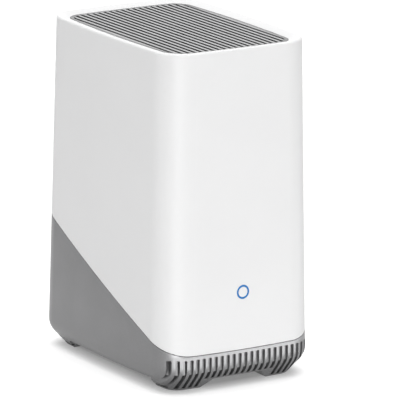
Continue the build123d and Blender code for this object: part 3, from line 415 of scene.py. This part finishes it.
def circuit(name, mask_colour, trace_colour):
    """Glass laminate under solder mask: copper runs show through as paler lines, with small tinned pads."""
    lane_scale, lane_gap, lane_shift = 260.0, 0.012, 0.37
    pad_pitch, pad_share = 2.4 * mm, 0.13
    weave_size, print_depth = 0.5 * mm, 0.03 * mm
    black, white, solder = (0, 0, 0, 1), (1, 1, 1, 1), (0.55, 0.55, 0.52, 1)
    material, shader, place = new_finish(name, roughness=0.35)
    long_way = place.node("ShaderNodeMapping", {}, {0: place, "Scale": (1.0, 1.0, 0.12)})
    lanes = place.node("ShaderNodeTexBrick", {"offset": lane_shift}, {
        "Vector": long_way, "Scale": lane_scale, "Mortar Size": lane_gap, "Color1": black, "Color2": black,
        "Mortar": white}, 1)
    dots = place.node("ShaderNodeTexVoronoi", {}, {"Vector": place, "Scale": 1 / pad_pitch}, "Distance")
    pads = dots.math("LESS_THAN", dots, pad_share)
    weave = speckle(place, weave_size)
    runs = between(lanes * 0.6 + weave * 0.25, mask_colour, trace_colour)
    tinned = runs.node("ShaderNodeMix", {"data_type": "RGBA"}, {0: pads, 6: runs, 7: solder}, 2)
    into(shader, "Base Color", tinned)
    into(shader, "Metallic", pads * 0.9)
    into(shader, "Roughness", weave * 0.12 + 0.28)
    into(shader, "Normal", relief(lanes * 0.5 + pads * 0.5, print_depth))
    return material


board_green = circuit("board_green", (0.008, 0.075, 0.03), (0.02, 0.17, 0.07))
dress("led_board", board_green)
lamp_white = moulded("lamp_white", (0.8, 0.79, 0.72), roughness=0.3, grain=0.2 * mm)
dress("status_leds", lamp_white)


# Screws.
# Zinc-plated pan-head screws with a cross recess, rolled from wire. They hold the lamps'
# board, the speaker's box, the frame, the drive cage, its connector and the main board.
def worked(name, colour, roughness, grain=0.6 * mm, stretch=(1, 1, 0.04)):
    """Bare metal with the fine drawn lines of its making, and gloss that varies along them."""
    spot_size, line_depth = 5 * mm, 0.01 * mm
    material, shader, place = new_finish(name, roughness, metallic=1.0)
    drawn = place.node("ShaderNodeMapping", {}, {0: place, "Scale": stretch})
    lines = speckle(drawn, grain, 3.0)
    spots = speckle(place, spot_size, 4.0)
    darker = tuple(channel * 0.78 for channel in colour)
    into(shader, "Base Color", between(lines * 0.5 + spots * 0.5, darker, colour))
    into(shader, "Roughness", lines * 0.15 + spots * 0.12 + (roughness - 0.12))
    into(shader, "Normal", relief(lines, line_depth))
    return material


def new_tree(name, sizes):
    """A Geometry Nodes tree with a named input for each size and the length. Hands back tree and inputs."""
    tree = bpy.data.node_groups.new(name, "GeometryNodeTree")
    tree.interface.new_socket("Geometry", in_out="INPUT", socket_type="NodeSocketGeometry")
    for label, value in dict(sizes, Length=0.0).items():
        kind = {int: "NodeSocketInt", float: "NodeSocketFloat"}.get(type(value), "NodeSocketMaterial")
        tree.interface.new_socket(label, in_out="INPUT", socket_type=kind)
    tree.interface.new_socket("Geometry", in_out="OUTPUT", socket_type="NodeSocketGeometry")
    group = tree.nodes.new("NodeGroupInput")
    return tree, {socket.name: Wire(tree, socket) for socket in group.outputs if socket.name}


def combined(wire, parts):
    """A vector from its coordinates by axis. An axis left out is zero."""
    return wire.node("ShaderNodeCombineXYZ", {}, parts)


def moved(mesh, parts):
    return mesh.node("GeometryNodeTransform", {}, {"Geometry": mesh, "Translation": combined(mesh, parts)})


def pushed(mesh, offset):
    return mesh.node("GeometryNodeSetPosition", {}, {"Geometry": mesh, "Offset": offset})


def head_points(mesh):
    """The place of each point of a round head, and its way out from the head's axis."""
    spot = mesh.node("GeometryNodeInputPosition", {}, {})
    return spot, spot.node("ShaderNodeVectorMath", {"operation": "MULTIPLY"}, {0: spot, 1: (1, 1, 0)})


def stand_screws(tree, size, head, slots, shank_sides):
    """Cuts slots into a head, puts the shank below and stands a copy on each point, turned its way."""
    head = moved(head, {2: size["Head Height"] / 2})
    bars = []
    for slot in slots:
        bar = head.node("GeometryNodeMeshCube", {}, {"Size": combined(head, slot)})
        bars.append(moved(bar, {2: size["Head Height"]}))
    head = head.node("GeometryNodeMeshBoolean", {"operation": "DIFFERENCE"}, {"Mesh 1": head, "Mesh 2": bars})
    shank = head.node("GeometryNodeMeshCylinder", {}, {
        "Vertices": shank_sides, "Radius": size["Shank Radius"], "Depth": size["Length"]})
    shank = moved(shank, {2: -size["Length"] / 2})
    whole = head.node("GeometryNodeJoinGeometry", {}, {"Geometry": [head, shank]})
    way = whole.node("GeometryNodeInputNamedAttribute", {"data_type": "FLOAT_VECTOR"}, {"Name": "way"})
    turn = way.node("FunctionNodeAlignRotationToVector", {"axis": "Z"}, {"Vector": way})
    copies = whole.node("GeometryNodeInstanceOnPoints", {}, {
        "Points": size["Geometry"], "Instance": whole, "Rotation": turn})
    real = copies.node("GeometryNodeRealizeInstances", {}, {"Geometry": copies})
    done = real.node("GeometryNodeSetMaterial", {}, {"Geometry": real, "Material": size["Finish"]})
    into(tree.nodes.new("NodeGroupOutput"), 0, done)


def grown(name, tree, sizes, points, ways):
    """An object whose mesh a tree grows from some points, each with the way it faces."""
    mesh = bpy.data.meshes.new(name)
    mesh.from_pydata(points, [], [])
    face = mesh.attributes.new("way", "FLOAT_VECTOR", "POINT")
    for item, way in zip(face.data, ways):
        item.vector = way
    piece = bpy.data.objects.new(name, mesh)
    bpy.context.collection.objects.link(piece)
    modifier = piece.modifiers.new("grow", "NODES")
    modifier.node_group = tree
    for item in tree.interface.items_tree:
        if item.in_out == "INPUT" and item.name in sizes:
            modifier[item.identifier] = sizes[item.name]
    return piece


def islands(node):
    """The box of each separate solid in a CAD node."""
    work = merged(node)
    left, boxes = set(work.verts), []
    while left:
        front, seen = [left.pop()], []
        while front:
            vertex = front.pop()
            seen.append(vertex.co.copy())
            near = [edge.other_vert(vertex) for edge in vertex.link_edges]
            front += [other for other in near if other in left]
            left.difference_update(near)
        boxes.append([[choose(co[axis] for co in seen) for axis in range(3)] for choose in (min, max)])
    work.free()
    return sorted(boxes)


def fit_screws(node, axis, head_side, tree, sizes):
    """Stands a screw in each of a node's solids, all of one length, its head towards one side of the axis."""
    points, ways = [], []
    for low, high in islands(node):
        point = [sum(ends) / 2 for ends in zip(low, high)]
        top = (high if head_side > 0 else low)[axis]
        point[axis] = top - head_side * sizes["Head Height"]
        points.append(point)
        ways.append([head_side if side == axis else 0 for side in range(3)])
        length = high[axis] - low[axis] - sizes["Head Height"]
    piece = grown(node + "_turned", tree, dict(sizes, Length=length), points, ways)
    settle(piece, zinc, node)


zinc = worked("zinc", (0.62, 0.62, 0.63), roughness=0.34)
screw_sizes = {"Head Radius": 2.5 * mm, "Head Height": 1.6 * mm, "Dome": 0.7 * mm, "Recess Width": 0.62 * mm,
               "Recess Depth": 0.9 * mm, "Shank Radius": 1.25 * mm, "Finish": zinc}
recess_share = 1.15
screw_tree, size = new_tree("pan_head_screw", screw_sizes)
head = size["Geometry"].node("GeometryNodeMeshCylinder", {}, {
    "Vertices": 28, "Side Segments": 2, "Fill Segments": 4, "Radius": size["Head Radius"],
    "Depth": size["Head Height"]})
spot, outward = head_points(head)
reach = spot.node("ShaderNodeVectorMath", {"operation": "LENGTH"}, {0: outward}, "Value")
reach = reach / size["Head Radius"]
height = coordinate(spot, 2)
droop = -reach * reach * reach * size["Dome"] * height.math("GREATER_THAN", height, 0.0)
head = pushed(head, combined(head, {2: droop}))
recess = [{wide: size["Recess Width"], long: size["Head Radius"] * recess_share, 2: size["Recess Depth"] * 2}
          for wide, long in ((0, 1), (1, 0))]
stand_screws(screw_tree, size, head, recess, shank_sides=16)
for node, axis, head_side in (("led_screws", 1, 1), ("speaker_screws", 2, 1), ("frame_screws", 2, 1),
                              ("cage_screws", 0, -1), ("sata_screws", 2, 1), ("board_screws", 0, -1)):
    fit_screws(node, axis, head_side, screw_tree, screw_sizes)

# Speaker.
# A small full-range speaker that faces down in a closed black box behind the front vents:
# pressed steel basket, paper cone, ferrite magnet in a plated cup, foam gasket and two wires.
black_plastic = moulded("black_plastic", (0.022, 0.022, 0.024), roughness=0.5, grain=0.5 * mm,
                        depth=0.03 * mm, cloud=0.1)
eased("speaker_box", black_plastic, edge=0.4 * mm)
basket_steel = worked("basket_steel", (0.5, 0.5, 0.51), roughness=0.38, stretch=(1, 1, 1))
dress("speaker_frame", basket_steel)

cell_size, cell_depth = 0.3 * mm, 0.15 * mm
foam, shader, place = new_finish("gasket_foam", roughness=0.95)
cells = place.node("ShaderNodeTexVoronoi", {}, {"Vector": place, "Scale": 1 / cell_size}, "Distance")
into(shader, "Base Color", between(cells, (0.02, 0.02, 0.02), (0.09, 0.09, 0.09)))
into(shader, "Normal", relief(cells, cell_depth))
dress("speaker_gasket", foam)

pulp_size, pulp_depth = 0.5 * mm, 0.06 * mm
cone_paper, shader, place = new_finish("cone_paper", roughness=0.85)
laid = place.node("ShaderNodeMapping", {}, {0: place, "Scale": (1, 0.3, 1)})
pulp = speckle(laid, pulp_size, 6.0)
into(shader, "Base Color", between(pulp, (0.018, 0.018, 0.02), (0.07, 0.068, 0.065)))
into(shader, "Normal", relief(pulp, pulp_depth))
dress("speaker_cone", cone_paper)

plated = worked("plated_cup", (0.66, 0.65, 0.62), roughness=0.25, grain=1.5 * mm, stretch=(1, 1, 1))
dress("speaker_magnet", plated)
wire_black = moulded("wire_black", (0.02, 0.02, 0.022), roughness=0.45, grain=0.4 * mm)
dress("speaker_wires", wire_black)
nylon = moulded("nylon_white", (0.74, 0.73, 0.69), roughness=0.4, grain=0.3 * mm)
dress("speaker_header", nylon)

# Acoustic mesh.
# Black woven cloth, cut to a strip and stuck inside the front vents, so that no one sees
# in while the sound passes out.
thread_pitch, thread_depth = 0.5 * mm, 0.08 * mm
mesh_cloth, shader, place = new_finish("mesh_cloth", roughness=0.9)
warp = wave(coordinate(place, 0), thread_pitch)
weft = wave(coordinate(place, 2) + coordinate(place, 1), thread_pitch)
over = place.math("MAXIMUM", warp, weft)
into(shader, "Base Color", between(over * 0.5 + 0.5, (0.002, 0.002, 0.002), (0.03, 0.03, 0.032)))
into(shader, "Normal", relief(over, thread_depth))
dress("acoustic_mesh", mesh_cloth)

# Frame and drive cage.
# The dark moulded spine carries the main board on one side and a folded steel cage for the
# drive on the other. The cage's windows let the drive's heat out.
frame_plastic = moulded("frame_plastic", (0.07, 0.07, 0.074), roughness=0.55, grain=0.6 * mm,
                        depth=0.04 * mm, cloud=0.08)
eased("spine", frame_plastic, edge=0.3 * mm)
cage_steel = worked("cage_steel", (0.6, 0.61, 0.62), roughness=0.36, grain=1.2 * mm, stretch=(1, 0.05, 1))
eased("drive_cage", cage_steel, edge=0.25 * mm)

# Drive tray.
# One moulding of door, back and rails that slides down out of the base. Four rubber blocks
# carry the drive, and a captive screw with a knurled, slotted head holds the door shut.
tray_plastic = moulded("tray_plastic", (0.1, 0.1, 0.105), roughness=0.5, grain=0.5 * mm,
                       depth=0.03 * mm, cloud=0.06)
eased("drive_tray", tray_plastic, edge=0.3 * mm)
dress("tray_bumpers", sole_rubber)
thumb_sizes = {"Head Radius": 3.6 * mm, "Head Height": 2.2 * mm, "Ridges": 32, "Ridge Depth": 0.22 * mm,
               "Slot Width": 0.9 * mm, "Slot Depth": 0.8 * mm, "Shank Radius": 1.5 * mm, "Finish": zinc}
points_per_ridge, slot_share = 4.0, 3.0
thumb_tree, size = new_tree("thumb_screw", thumb_sizes)
head = size["Geometry"].node("GeometryNodeMeshCylinder", {}, {
    "Vertices": size["Ridges"] * points_per_ridge, "Fill Segments": 3, "Radius": size["Head Radius"],
    "Depth": size["Head Height"]})
spot, outward = head_points(head)
angle = spot.math("ARCTAN2", coordinate(spot, 1), coordinate(spot, 0))
valley = (spot.math("COSINE", angle * size["Ridges"]) - 1.0) * 0.5
inward = valley * size["Ridge Depth"] / size["Head Radius"]
cut = outward.node("ShaderNodeVectorMath", {"operation": "SCALE"}, {0: outward, "Scale": inward})
head = pushed(head, cut)
slot = {0: size["Slot Width"], 1: size["Head Radius"] * slot_share, 2: size["Slot Depth"] * 2}
stand_screws(thumb_tree, size, head, [slot], shank_sides=24)
fit_screws("tray_screw", 2, -1, thumb_tree, thumb_sizes)

# Bay connector and ribbon.
# The drive plugs upwards into a black connector on a small board. A flat black ribbon takes
# its lines through the spine to the main board.
dress("sata_connector", black_plastic)
dress("sata_board", board_green)
dress("ribbon_headers", nylon)
strand_pitch, strand_depth = 0.5 * mm, 0.15 * mm
ribbon, shader, place = new_finish("ribbon_black", roughness=0.4)
strands = place.math("ABSOLUTE", wave(coordinate(place, 1), strand_pitch * 2))
into(shader, "Base Color", between(strands, (0.008, 0.008, 0.009), (0.04, 0.04, 0.043)))
into(shader, "Roughness", strands * 0.15 + 0.3)
into(shader, "Normal", relief(strands, strand_depth))
dress("drive_ribbon", ribbon)

# Main board.
# An upright board of green laminate with its chips towards the left: processor, memory and
# flash in black epoxy, the power stage by the socket, and the line transformer.
dress("main_board", board_green)
epoxy = moulded("epoxy_black", (0.018, 0.018, 0.019), roughness=0.5, grain=0.15 * mm,
                depth=0.02 * mm, cloud=0.08)
for node in ("processor", "memory_chips", "flash_chip", "line_transformer"):
    dress(node, epoxy)
ferrite = moulded("ferrite_grey", (0.05, 0.05, 0.052), roughness=0.6, grain=0.4 * mm,
                  depth=0.04 * mm, cloud=0.12)
dress("power_inductors", ferrite)
can_aluminium = worked("can_aluminium", (0.72, 0.72, 0.73), roughness=0.24, grain=0.8 * mm,
                       stretch=(0.05, 1, 1))
dress("power_capacitors", can_aluminium)

# Heat sink.
# Extruded aluminium fins on a silicone pad over the processor, held by two sprung plastic
# pins through the board.
sink_aluminium = worked("sink_aluminium", (0.66, 0.67, 0.68), roughness=0.34, grain=0.5 * mm)
eased("heat_sink", sink_aluminium, edge=0.2 * mm)
pad_blue = moulded("pad_blue", (0.2, 0.33, 0.55), roughness=0.7, grain=0.4 * mm, depth=0.05 * mm, cloud=0.06)
dress("thermal_pad", pad_blue)
dress("sink_pins", nylon)

# Ports.
# Standard sockets along the board's rear edge: a shielded network jack with gold springs,
# a USB socket with a white tongue, and a barrel socket for the mains adapter.
tin = worked("tin_plate", (0.7, 0.7, 0.69), roughness=0.28, grain=0.9 * mm)
eased("ethernet_jack", tin, edge=0.2 * mm)
gold = worked("contact_gold", (0.83, 0.62, 0.25), roughness=0.22, grain=0.4 * mm)
dress("ethernet_pins", gold)
dress("usb_shell", tin)
dress("usb_tongue", nylon)
eased("power_jack", black_plastic, edge=0.25 * mm)
dress("power_pin", gold)

# Radio.
# A small radio card under a tin lid, with a thin lead to each of two board antennas high on
# the spine, and a second tin lid on the main board.
for node in ("wireless_module", "shield_can"):
    dress(node, tin)
dress("antennas", board_green)
dress("coax_leads", wire_black)

# Sync button.
# A round painted key in the rear wall. Its stem pushes the plunger of a small switch on the
# board's edge, whose spring brings it back.
dress("sync_button", base_paint)
dress("sync_switch", epoxy)
dress("switch_plunger", nylon)
